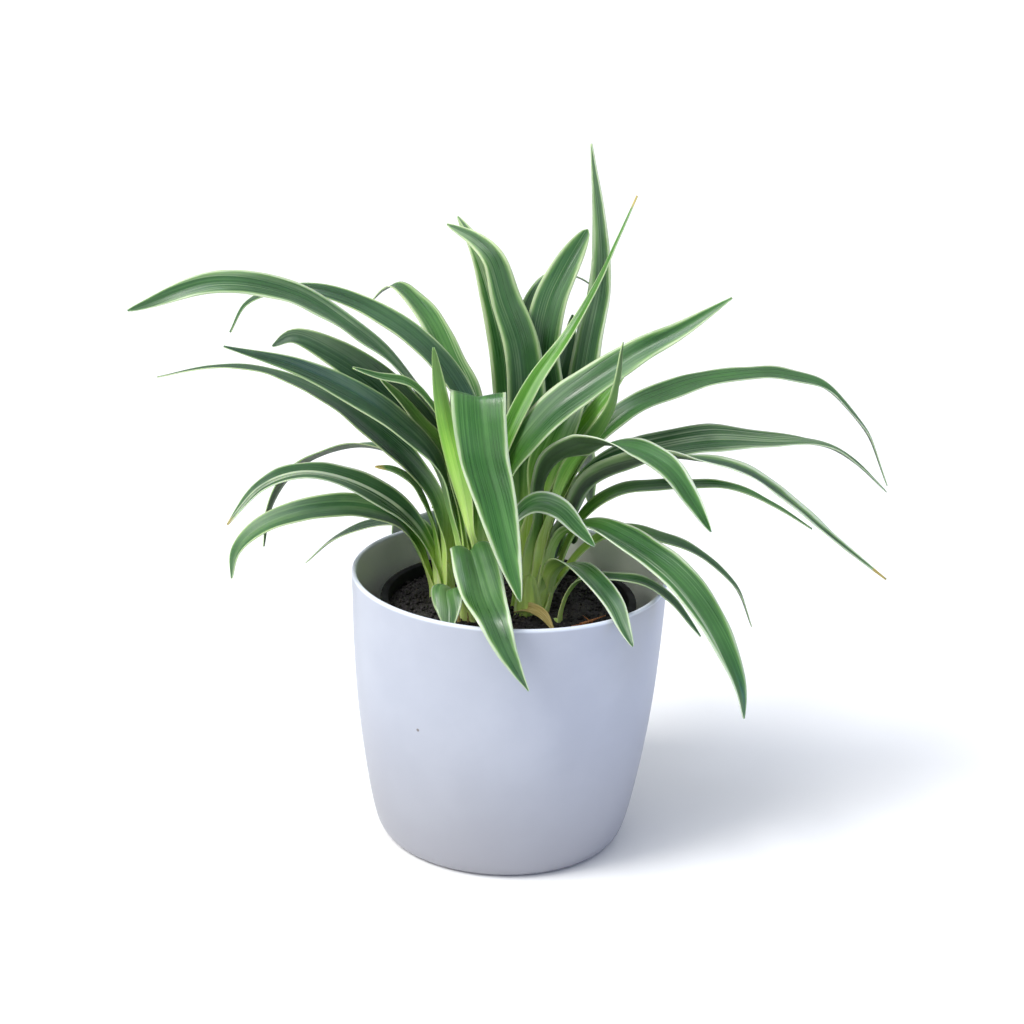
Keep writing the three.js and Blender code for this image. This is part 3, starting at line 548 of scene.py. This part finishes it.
# name, crown, heading, width, turns of the blade from root to tip in degrees, spine as points of
# (out, height, sideways) from the crown in mm, and looks
LEAVES = [
    ("leaf_front_01", "front", 188, 15, (-10, 0, -30, -80),
     ((4, 148), (8, 168), (14, 188), (27, 208), (50, 232), (82, 252), (112, 257), (149, 245)),
     dict(cool=0.5, white=0.6, stripe=0.25, margin=0.7, slim=1.1, taper=3.4)),
    ("leaf_front_02", "front", 172, 18, (-10, -25, -50, -60),
     ((1, 151), (3, 178), (8, 204), (22, 224), (44, 240), (70, 249), (90, 248), (104, 241),
      (111, 228)),
     dict(cool=0.7, margin=0.45, slim=0.95, taper=1.9)),
    ("leaf_front_03", "front", 130, 16, (0, 5, -15),
     ((7, 147, -1), (11, 176, -3), (15, 202, -2), (27, 221), (44, 236), (62, 243), (73, 239),
      (81, 233)),
     dict(cool=0.2, young=0.1, stripe=0.7, margin=1.2, lime=1.2, slim=1.15, taper=2.8)),
    ("leaf_front_04", "front", 205, 18, (-15, -30, -60, -70),
     ((10, 136, 2), (16, 158, 3), (23, 181, 2), (40, 200), (62, 216), (84, 228), (115, 239)),
     dict(cool=0.8, margin=0.5, taper=2.4)),
    ("leaf_front_05", "front", 176, 20, (-10, -20, -60, -75),
     ((9, 134, -4), (14, 158, -4), (21, 182, -2), (33, 199), (48, 213), (65, 224), (82, 230),
      (91, 225)),
     dict(cool=0.85, margin=0.5)),
    ("leaf_front_06", "front", 184, 9, (-20, -30, -45),
     ((7, 142, -1), (11, 164, -2), (16, 182, -3), (27, 196, -2), (36, 207, -1), (44, 215)),
     dict(cool=0.2, young=0.5, margin=0.8)),
    ("leaf_front_07", "front", 212, 7, (-20, -30, -45),
     ((8, 140, 3), (13, 165, 3), (17, 187, 2), (25, 206, 1), (36, 218), (51, 223), (63, 228)),
     dict(cool=0.3, young=0.3, stripe=0.3, margin=0.7)),
    ("leaf_front_08", "front", 232, 9, (0, 20, 35, 38),
     ((9, 142, 5), (13, 152, 5), (19, 175, 4), (25, 202), (34, 236)),
     dict(cool=0.0, young=0.75, margin=0.7, lime=1.7)),
    ("leaf_front_09", "front", 270, 25, (0, 0, 0),
     ((7, 146), (12, 175, -1), (15, 203, -2), (21, 214, -2), (26, 206, -1), (30, 189, 2),
      (36, 174, 7), (43, 150, 14), (48, 134, 19)),
     dict(cool=0.15, white=0.7, stripe=0, margin=1.05)),
    ("leaf_front_10", "front", 285, 22, (0, 15, 15),
     ((7, 122, -3), (12, 136, -6), (18, 145, -8), (30, 141, -8), (46, 134, -8), (61, 129, -7),
      (68, 120, -4), (72, 112), (73, 103, 5)),
     dict(cool=0.65, white=0.9, young=0.1, stripe=0, margin=1.0, lime=0.35, slim=1.1, taper=2.4,
          crest=(50, 0.3, 0.2))),
    ("leaf_front_11", "front", 245, 17, (0, 0, 0),
     ((8, 114), (14, 121), (22, 126, -3), (30, 121, 2), (36, 114, 5)),
     dict(cool=0.5, white=0.8, young=0.15, margin=0.6, lime=0.35, crest=(45, 0.5, 0.25))),
    ("leaf_front_12", "front", 30, 10, (55, 50, 10, 0),
     ((3, 150, -1), (6, 170, -1), (11, 188, -1), (24, 211), (41, 232), (56, 256), (64, 273),
      (72, 290)),
     dict(cool=0.0, white=0.6, young=0.42, margin=0.6, dry=0.9, lime=1.3, taper=1.8)),
    ("leaf_front_13", "front", 8, 20, (0, 25, 40, 50, 60),
     ((7, 143), (10, 162), (16, 181), (29, 200), (45, 213), (63, 226), (84, 238), (105, 252)),
     dict(cool=0.35, white=0.5, lime=1.2, taper=2.6)),
    ("leaf_front_14", "front", 340, 14, (10, 30, 50),
     ((9, 128), (13, 146), (19, 158), (27, 164), (36, 163), (45, 156), (53, 149)),
     dict(cool=0.25, white=1.0, lime=0.6)),
    ("leaf_left_01", "left", 208, 16, (-55, -45, -15, 0),
     ((6, 124), (12, 138), (27, 155), (48, 168), (71, 174), (88, 170), (103, 155)),
     dict(cool=0.6, white=0.8, stripe=1.0, margin=0.6, dry=0.6, lime=0.55)),
    ("leaf_left_02", "left", 192, 16, (-20, -25, -30),
     ((7, 114), (13, 131), (22, 144), (40, 151), (64, 150), (84, 142), (93, 132), (95, 120)),
     dict(cool=0.5, margin=0.5, lime=0.55)),
    ("leaf_left_03", "left", 160, 13, (5, 15, 15),
     ((6, 142, -3), (11, 158, -3), (22, 169), (40, 172), (60, 166), (77, 153), (87, 136),
      (90, 117)),
     dict(cool=0.5, margin=0.4, lime=0.6, slim=1.35, taper=2.2)),
    ("leaf_left_04", "left", 182, 18, (-70, -30, 0, 0),
     ((3, 148), (7, 158), (16, 169), (36, 187), (58, 201), (83, 210), (103, 211), (127, 206)),
     dict(cool=0.8, margin=0.45, lime=0.8, taper=2.2)),
    ("leaf_left_05", "left", 198, 8, (-20, -20, -20),
     ((6, 140), (11, 153), (17, 163), (25, 169), (33, 171)),
     dict(cool=0.2, young=0.2, margin=0.6, dry=0.7, lime=0.8)),
    ("leaf_left_06", "left", 150, 13, (0, -10, -15),
     ((6, 126), (12, 136), (26, 137), (44, 131), (61, 121), (76, 107)),
     dict(cool=0.6, margin=0.4, lime=0.5, slim=1.2, taper=2.4)),
    ("leaf_left_07", "left", 112, 16, (0, 0, 0),
     ((7, 120), (16, 130), (32, 134), (52, 127), (70, 108)),
     dict(cool=0.9, margin=0.4, lime=0.5)),
    ("leaf_right_01", "right", 335, 13, (0, -30, -15, 0, 5),
     ((6, 147, -1), (9, 160), (13, 172, 2), (21, 186, 4), (32, 203, -2), (38, 219, -9),
      (40, 237, -11)),
     dict(cool=0.1, young=0.5, margin=0.7, lime=1.3)),
    ("leaf_right_02", "right", 18, 16, (0, 20, 5, 15, 20),
     ((7, 146), (13, 160, 1), (21, 176, 1), (35, 192), (58, 203), (96, 209), (130, 203), (155, 180),
      (169, 153)),
     dict(cool=0.15, white=0.7, stripe=0, margin=0.6, lime=1.3)),
    ("leaf_right_03", "right", 328, 17, (0, -15, -45, 12, 32, 50),
     ((3, 148, -2), (4, 166, -5), (12, 180, -8), (29, 189, -6), (46, 190, -1), (62, 185), (75, 173),
      (85, 161)),
     dict(cool=0.25, white=1.0, stripe=0, lime=0.75)),
    ("leaf_right_04", "right", 350, 16, (-70, -50, 0, 10, 20),
     ((10, 141), (14, 152), (20, 165), (36, 176), (60, 182), (90, 178), (112, 165), (131, 151),
      (153, 136)),
     dict(cool=0.9, white=1.0, margin=1.9, dry=1.6, lime=0.35, slim=1.15, taper=2.2)),
    ("leaf_right_05", "right", 12, 19, (10, 20, 28, -5, 10),
     ((10, 134, 5), (17, 154, 5), (26, 167, 4), (43, 176, 2), (75, 182), (105, 181), (130, 178),
      (145, 170), (161, 156)),
     dict(cool=0.5, white=0.8, stripe=0.4, margin=0.6, lime=0.7)),
    ("leaf_right_06", "right", 6, 13, (5, 8, 10, 25),
     ((9, 118), (15, 138), (22, 151), (34, 160), (60, 164), (86, 163), (105, 155), (123, 144)),
     dict(cool=0.35, margin=0.7, taper=2.2)),
    ("leaf_right_07", "right", 322, 19, (0, 0, 15, 20, 5),
     ((8, 126), (10, 137), (15, 145), (28, 151), (46, 150), (69, 143), (86, 132), (100, 117),
      (110, 99), (113, 87)),
     dict(cool=0.3, white=0.9, stripe=0.6, lime=0.85)),
    ("leaf_right_08", "right", 6, 12, (0, 8, 5),
     ((8, 113), (14, 124), (23, 135), (38, 142), (58, 138), (76, 129), (90, 116), (99, 97)),
     dict(margin=0.6, dry=0.5)),
    ("leaf_right_09", "right", 302, 14, (-20, -15, 5, 30),
     ((8, 113), (11, 124), (18, 132), (31, 136), (48, 134), (62, 129), (70, 122), (77, 116)),
     dict(cool=0.6, white=1.0, margin=0.7, lime=0.8)),
    ("leaf_right_10", "right", 46, 17, (30, 30, 30),
     ((3, 149, 4), (6, 168, 4), (12, 185, 1), (20, 198), (29, 206)),
     dict(cool=0.6, margin=0.7, lime=1.3)),
    ("leaf_right_11", "right", 39, 8, (20, 20, 20),
     ((5, 147, 2), (9, 160, 3), (15, 175, 3), (28, 192), (41, 206, -1), (51, 217)),
     dict(cool=0.0, young=0.75, margin=0.6, lime=1.3)),
    ("leaf_right_12", "right", 60, 16, (0, 0, 0),
     ((8, 122), (15, 132), (24, 134), (33, 127)),
     dict()),
    ("leaf_back_01", "back", 158, 18, (-60, -65, -65),
     ((4, 137, 2), (5, 152, 4), (5, 174, 4), (4, 198, 5), (7, 222, 6), (16, 241, 4), (23, 258, 3),
      (33, 265, 1), (47, 270)),
     dict(cool=0.5, stripe=0.15, margin=1.1)),
    ("leaf_back_02", "back", 135, 16, (-45, -45, -45),
     ((8, 144, 1), (12, 166), (17, 188), (22, 212), (31, 236), (42, 256), (56, 269)),
     dict(cool=0.3, stripe=0.9, margin=1.2)),
    ("leaf_back_03", "back", 45, 20, (45, 45, 45),
     ((5, 149, -2), (6, 172, -2), (5, 196), (2, 218, 2), (5, 240, 1), (11, 252), (19, 262),
      (26, 270)),
     dict(cool=0.45, stripe=0.3, margin=1.2, slim=0.85, taper=4.5)),
    ("leaf_back_04", "back", 20, 16, (20, 40, 35, 30),
     ((9, 142), (14, 164, -1), (18, 187, -1), (22, 218, -1), (27, 248), (25, 276), (19, 310)),
     dict(cool=0.7, white=0.8, margin=1.3, taper=2.6)),
    ("leaf_back_05", "back", 146, 12, (-30, -30, -30),
     ((9, 126), (16, 142), (20, 160, -2), (22, 184, -5), (24, 200, -6), (26, 210, -6)),
     dict(cool=0.7, margin=0.6)),
    ("leaf_back_06", "back", 20, 13, (60, 60, 20, -8),
     ((3, 149, 7), (3, 178, 7), (-3, 210, 10), (-3, 232, 11), (5, 247, 12), (11, 250, 11),
      (21, 248, 11), (26, 245, 10)),
     dict(cool=0.6, margin=0.7)),
    ("leaf_back_07", "back", 60, 15, (30, 30, 30),
     ((10, 134), (13, 150), (14, 168), (13, 185), (14, 202, -2), (17, 217, -4), (20, 232, -4)),
     dict(cool=0.7, margin=0.7)),
    ("leaf_back_08", "back", 74, 18, (0, 0, 0),
     ((8, 116), (17, 134), (36, 155), (64, 156), (90, 138), (106, 112)),
     dict()),
    ("leaf_back_09", "back", 100, 18, (0, 0, 0),
     ((8, 126), (15, 150), (34, 172), (64, 172), (92, 152), (108, 124)),
     dict(cool=0.3, stripe=0.4)),
    ("leaf_back_11", "back", 140, 16, (0, 0, 0),
     ((8, 112), (17, 128), (33, 142), (50, 142), (62, 130)),
     dict(cool=0.5)),
    ("leaf_young", "young", 340, 9, (0, 5, 5),
     ((3, 112), (6, 122), (12, 129), (24, 132), (40, 132), (52, 126), (66, 112)),
     dict(cool=0.6, white=0.8, margin=0.8, lime=0.5)),
]


def leaf_spine(crown, heading, points):
    """A leaf's points (out, height, sideways) from its crown, as places in mm."""
    x, y = CROWNS[crown]["at"]
    cos, sin = math.cos(math.radians(heading)), math.sin(math.radians(heading))
    places = []
    for point in points:
        out, height, aside = (*point, 0)[:3]
        places.append((x + out * cos - aside * sin, y + out * sin + aside * cos, height))
    return places


def sheath_points(crown, heading, points):
    """Where a leaf's sheath comes up from the soil: further in for the leaves that start high,
    and off the crown's centre to the side from which the crown leans."""
    out, height, aside = (*points[0], 0)[:3]
    low = SOIL_TOP - SHEATH_DEPTH
    inward = 0.95 - 0.5 * float(eased(112, 148, height))
    foot = [(out * inward, low, aside * inward)]
    if height - low > 16:
        middle = (inward + 1) / 2
        foot.append((out * middle, (low + height) / 2 - 1, aside * middle))
    lean_x, lean_y = CROWNS[crown]["lean"]
    return [(x + lean_x * share, y + lean_y * share, z)
            for (x, y, z), share in zip(leaf_spine(crown, heading, foot), (1.0, 0.45))]


def blade_mesh(piece, line, heading, turn, half_at, fold_at, cup_at, rng, ripple, gull_at=None):
    """Sets a flat grid along a spine: rows follow the spine, columns cross the blade. This is done
    in code, as edit mode's tools can't arch, twist, fold and ripple one long blade at once.
    At a length in mm, turn gives the twist in degrees, half_at the half width, fold_at the V's
    angle and cup_at how far the V is a round U. gull_at arches both halves, in degrees, as where
    a broad leaf bends over. Returns each vertex's place across and along, and how far in from the
    edge it is, in mm."""
    place, run = line
    mesh = piece.data
    flat = places_of(mesh)
    rows = (flat[:, 0] - flat[:, 0].min()) / np.ptp(flat[:, 0])
    across = 2 * (flat[:, 1] - flat[:, 1].min()) / np.ptp(flat[:, 1]) - 1
    stations = np.unique(np.round(rows, 6))
    row = np.searchsorted(stations, np.round(rows, 6))
    along_mm = stations * run[-1]

    def spine_at(mm):
        return np.stack([np.interp(mm, run, place[:, k]) for k in range(3)], 1)

    along = spine_at(along_mm + 1.5) - spine_at(along_mm - 1.5)
    along /= np.linalg.norm(along, axis=1)[:, None]
    left = np.array([-math.sin(math.radians(heading)), math.cos(math.radians(heading)), 0])
    side = left - along * (along @ left)[:, None]
    side /= np.linalg.norm(side, axis=1)[:, None]
    up = np.cross(along, side)
    angle = np.radians(turn(along_mm))[:, None]
    side, up = side * np.cos(angle) + up * np.sin(angle), up * np.cos(angle) - side * np.sin(angle)

    # the section of half the blade, as its slope from the midrib outwards
    half, fold, cup = half_at(along_mm), np.radians(fold_at(along_mm)), cup_at(along_mm)
    fine = np.linspace(0, 1, ARC_PARTS + 1)
    crease = np.tanh(fine / 0.12) * (1.15 - 0.35 * fine)
    slope = (fold * (1 - cup))[:, None] * crease + (math.radians(78) * cup)[:, None] * fine
    if gull_at:
        slope += np.radians(gull_at(along_mm))[:, None] * np.tanh(fine / 0.1) * (1 - 2.1 * fine)
    share = np.abs(across)
    part = np.clip(share * ARC_PARTS, 0, ARC_PARTS)
    low = np.minimum(part.astype(int), ARC_PARTS - 1)
    rest = part - low

    def summed(parts):
        total = np.cumsum(parts[:, 1:] * (1 / ARC_PARTS), 1)
        total = np.concatenate([np.zeros((len(half), 1)), total], 1)
        return (total[row, low] * (1 - rest) + total[row, low + 1] * rest) * half[row]

    sideways, upwards = summed(np.cos(slope)) * np.sign(across), summed(np.sin(slope))

    # the margins ripple a little, each side in its own way
    wave = np.zeros(len(rows))
    for sign in (-1, 1):
        lengths, phases = rng.uniform(16, 46, 3), rng.uniform(0, 2 * math.pi, 3)
        swing = sum(np.sin(along_mm * 2 * math.pi / l + p) for l, p in zip(lengths, phases)) / 3
        wave += np.where(np.sign(across) == sign, swing[row], 0) * share ** 2
    bulge = np.sin(along_mm * 2 * math.pi / rng.uniform(30, 60) + rng.uniform(0, 6)) * 0.25
    broad = np.minimum(half[row] / 6, 1)
    upwards += ripple * wave * broad + bulge[row] * broad
    spot = spine_at(along_mm)[row] + side[row] * sideways[:, None] + up[row] * upwards[:, None]
    mesh.vertices.foreach_set("co", (spot * MM).ravel())
    return across * half[row], along_mm[row], half[row] * (1 - share)


def finish_blade(piece, materials, thickness, slot, node):
    mesh = piece.data
    for material in materials:
        mesh.materials.append(material)
    mesh.polygons.foreach_set("use_smooth", [True] * len(mesh.polygons))
    mesh.update()
    apply_modifier(piece, "SOLIDIFY", thickness=thickness * MM, offset=0,
                   material_offset=len(materials) - 1, material_offset_rim=0)
    settle(piece, slot, node)


def make_leaf(number, name, crown, heading, width, turns, points, looks):
    looks = LOOKS | looks
    foot = sheath_points(crown, heading, points)
    spine = foot + leaf_spine(crown, heading, points)
    line = curved(spine)
    place, run = line
    root = run[np.argmin(np.linalg.norm(place - np.array(spine[len(foot)]), axis=1))]
    length = run[-1]
    piece = start(name + "_blade", bpy.ops.mesh.primitive_grid_add,
                  x_subdivisions=int(min(max(length / 1.7, 60), 170)), y_subdivisions=16,
                  size=0.1, location=(0, 0, 0))
    # half the sheath's width, laid flat
    sheath_half = 2.8 if crown == "young" else min(max(0.48 * width, 5), 8.8)

    def share(mm):
        return np.clip((mm - root) / (length - root), 0, 1)

    def below(mm):
        return 1 - eased(root - 20, root + 12, mm)

    def turn(mm):
        return np.interp(share(mm), np.linspace(0, 1, len(turns)), turns) * (1 - 0.8 * below(mm))

    def half_at(mm):
        t, taper = share(mm), looks["taper"]
        full = width * looks["slim"] * (0.42 + 0.58 * eased(0, 0.4, t))
        blade = (full * (1 - t ** taper) ** (2.72 / taper) + 0.9 * t) / 2
        return blade + (sheath_half - blade) * below(mm)

    def fold_at(mm):
        return 36 - 21 * eased(0, 0.45, share(mm))

    def cup_at(mm):
        return 0.5 * below(mm)

    def gull_at(mm):
        degrees, where, reach = looks["crest"]
        return degrees * np.exp(-((share(mm) - where) / reach) ** 2)

    across, along, edge = blade_mesh(piece, line, heading, turn, half_at, fold_at, cup_at,
                                     np.random.default_rng(LEAF_SEED + number), LEAF_RIPPLE,
                                     gull_at)
    t = share(along)
    dry = eased(1 - 12 / (length - root), 1.0, t) * looks["dry"]
    # the pale sheath and the lime above it reach less far on a short leaf
    above_soil = along - SHEATH_DEPTH
    reach = min(1.0, 0.45 * length / 46) * looks["lime"]
    pale = 1 - eased(18 * reach, 52 * reach, above_soil)
    lime = 1 - eased(26 * reach, 84 * reach, above_soil)
    fresh = looks["young"]
    young = fresh * (1 - 0.75 * eased(0.5, 0.95, t)) + (0.75 - fresh * 0.5) * lime
    margin = looks["margin"] * np.clip(np.interp(along, run, half_at(run)) / 5, 0.25, 1)
    mesh = piece.data
    write_attribute(mesh, "grain", across, along, number * 1.37)
    write_attribute(mesh, "edge", edge / margin)
    write_attribute(mesh, "kind", looks["cool"], looks["white"], 0)
    write_attribute(mesh, "tone", pale, dry, looks["stripe"], young)
    finish_blade(piece, (LEAF_UPPER, LEAF_UNDER), BLADE_THICKNESS, "blade", name)


# ---------- crowns ----------
# a crown's heart: shares of the crown's height, and shares of its radius there
HEART = [(0.0, 0.55), (0.1, 0.58), (0.25, 0.5), (0.4, 0.36), (0.5, 0.2)]


def make_crown(number, name):
    """The heart of a crown, low between the sheaths of its leaves."""
    crown = CROWNS[name]
    radius = crown["radius"]
    middle = np.add(crown["at"], crown["lean"])
    profile = [(radius * wide, CROWN_FOOT + crown["height"] * high) for high, wide in HEART]
    piece = turned_shell(f"crown_{name}_heart", profile, 40, middle.tolist())
    apply_modifier(piece, "SUBSURF", levels=1, render_levels=1)
    mesh = piece.data
    place = places_of(mesh)
    away = place[:, :2] - middle * MM
    angle = np.arctan2(away[:, 1], away[:, 0])
    ridge = 1 + 0.08 * np.sin(angle * 9 + place[:, 2] * 160)
    place[:, :2] = away * ridge[:, None] + middle * MM
    mesh.vertices.foreach_set("co", place.ravel())
    write_attribute(mesh, "grain", angle * radius, place[:, 2] / MM, number * 3.1)
    write_attribute(mesh, "edge", 9.0)
    write_attribute(mesh, "kind", 0, 0, 0)
    # the heart takes the pale sheath colours, which are painted paler as light against the shade in
    # the crown
    write_attribute(mesh, "tone", 0.9, 0, 0, 0.3)
    mesh.materials.append(LEAF_UNDER)
    smooth_by_angle(piece, 70)
    settle(piece, "sheath", "crown_" + name)


# ---------- withered leaf ----------
WITHERED_HEADING = 295
WITHERED_SPINE = [(6, 108.9, -12), (13, 111.6, -9), (22, 111.8, -7), (34, 108.9, -7)]


def make_withered():
    line = curved(leaf_spine("right", WITHERED_HEADING, WITHERED_SPINE), 0.5)
    length = line[1][-1]
    piece = start("leaf_withered_curl", bpy.ops.mesh.primitive_grid_add, x_subdivisions=60,
                  y_subdivisions=10, size=0.1, location=(0, 0, 0))
    across, along, _ = blade_mesh(
        piece, line, WITHERED_HEADING,
        turn=lambda mm: np.interp(mm / length, (0, 0.5, 1), (60, 35, 0)),
        half_at=lambda mm: 2.9 * (1 - eased(0.55, 1.05, mm / length) * 0.75),
        fold_at=lambda mm: np.full_like(mm, 30.0), cup_at=lambda mm: np.full_like(mm, 0.6),
        rng=np.random.default_rng(WITHERED_SEED), ripple=0.5)
    write_attribute(piece.data, "grain", across, along, 0)
    finish_blade(piece, (DRY_LEAF,), 0.5, "dry_leaf", "leaf_withered")


# where each dead bit lies, from one end to the other in mm, and how thick it is
LITTER = {
    "dead_root": (DRY_ROOT, [((32, -22.5, 108.6), (43, -12.5, 109.4), 0.9),
                             ((28, -25, 108.4), (36, -19, 108.8), 0.5),
                             ((37, -19, 108.4), (33, -12, 108.8), 0.4)]),
    "dead_sheath": (DRY_LEAF, [((-21, -23, 107), (-22.5, -25, 117), 1.0),
                               ((-17, -25, 107), (-17.5, -27, 114), 0.8),
                               ((-25, -19, 107), (-28, -20, 116), 0.8)]),
}


def make_litter():
    """Dead roots and the stubs of shed leaves, each a sliver that narrows to its far end."""
    for name, (finish, bits) in LITTER.items():
        slivers = []
        for near, far, thick in bits:
            near, far = Vector(near) * MM, Vector(far) * MM
            turn = (far - near).to_track_quat("Z", "Y").to_euler()
            sliver = start(name, bpy.ops.mesh.primitive_cone_add, vertices=8,
                           location=(near + far) / 2, rotation=turn, depth=(far - near).length,
                           radius1=thick * MM, radius2=thick * 0.2 * MM, end_fill_type="NGON")
            bpy.ops.object.transform_apply(location=True, rotation=True, scale=True)
            slivers.append(sliver)
        for sliver in slivers:
            sliver.select_set(True)
        bpy.ops.object.join()
        piece = bpy.context.object
        piece.name = piece.data.name = name
        write_attribute(piece.data, "grain", *places_of(piece.data).T / MM)
        piece.data.materials.append(finish)
        smooth_by_angle(piece, 50)
        settle(piece, "dry_leaf")


# ---------- floor and light ----------
PLANT_MIDDLE = Vector((0, 0, 0.14))
# round lamps that face the plant: place and size in metres, watts, colour
LAMPS = [
    ("front_light", (-1.1, -1.0, 1.0), 1.0, 9, "ffffff"),
    ("sky_light", (-0.5, -0.2, 1.6), 0.5, 5, "e6eeff"),
    ("window_light", (1.1, -0.5, 0.2), 0.6, 2.4, "7ba8ff"),
]
# the studio's air, as linear colours
AIR_LEFT, AIR_RIGHT = (0.36, 0.37, 0.40, 1), (0.06, 0.10, 0.16, 1)
AIR_HORIZON, AIR_ABOVE = (1.0, 1.0, 1.0, 1), (0.80, 0.82, 0.86, 1)


def lamp(name, kind, power, colour, toward, at=(0, 0, 0), **settings):
    """Adds a lamp that shines along the vector toward."""
    data = bpy.data.lights.new(name, kind)
    data.energy, data.color = power, linear(colour)[:3]
    for key, value in settings.items():
        setattr(data, key, value)
    made = bpy.data.objects.new(name, data)
    bpy.context.scene.collection.objects.link(made)
    made.location = at
    made.rotation_euler = toward.to_track_quat("-Z", "Y").to_euler()


def make_studio():
    floor = start("studio_floor", bpy.ops.mesh.primitive_plane_add, size=40, location=(0, 0, 0))
    floor.data.materials.append(STUDIO_FLOOR)

    lamp("daylight", "SUN", 1.9, "fffdf8", Vector((0.72, 0.42, -1.05)), angle=math.radians(22))
    for name, at, size, power, colour in LAMPS:
        lamp(name, "AREA", power, colour, PLANT_MIDDLE - Vector(at), at, shape="DISK", size=size)

    # the air of the studio is brightest overhead, and darker at the right than at the left, with
    # a thin white band where it meets the floor
    world = bpy.data.worlds.new("studio_air")
    world.use_nodes = True
    tree = world.node_tree
    tree.nodes.clear()
    place = add(tree, "TexCoord").outputs["Generated"]
    away, _, height = add(tree, "SeparateXYZ", {0: place}).outputs
    right = add(tree, "MapRange", {0: away, 1: -0.7, 2: 0.7}, **SMOOTH)
    colour = add(tree, "Mix", {0: right, A: AIR_LEFT, B: AIR_RIGHT}, **COLOURS)
    band = add(tree, "MapRange", {0: height, 1: 0.11, 2: 0.06}, **SMOOTH)
    colour = add(tree, "Mix", {0: band, A: colour, B: AIR_HORIZON}, **COLOURS)
    above = add(tree, "MapRange", {0: height, 1: 0.0, 2: 0.9}, **SMOOTH)
    colour = add(tree, "Mix", {0: above, A: colour, B: AIR_ABOVE}, **COLOURS)
    air = add(tree, "Background", {"Color": colour})
    add(tree, "OutputWorld", {"Surface": air})
    bpy.context.scene.world = world
    bpy.context.scene.view_settings.view_transform = "Standard"


place_camera()
make_planter()
make_grower_pot()
make_soil(np.random.default_rng(SOIL_SEED))
for number, name in enumerate(CROWNS):
    make_crown(number, name)
for number, leaf in enumerate(LEAVES):
    make_leaf(number, *leaf)
make_withered()
make_litter()
make_studio()
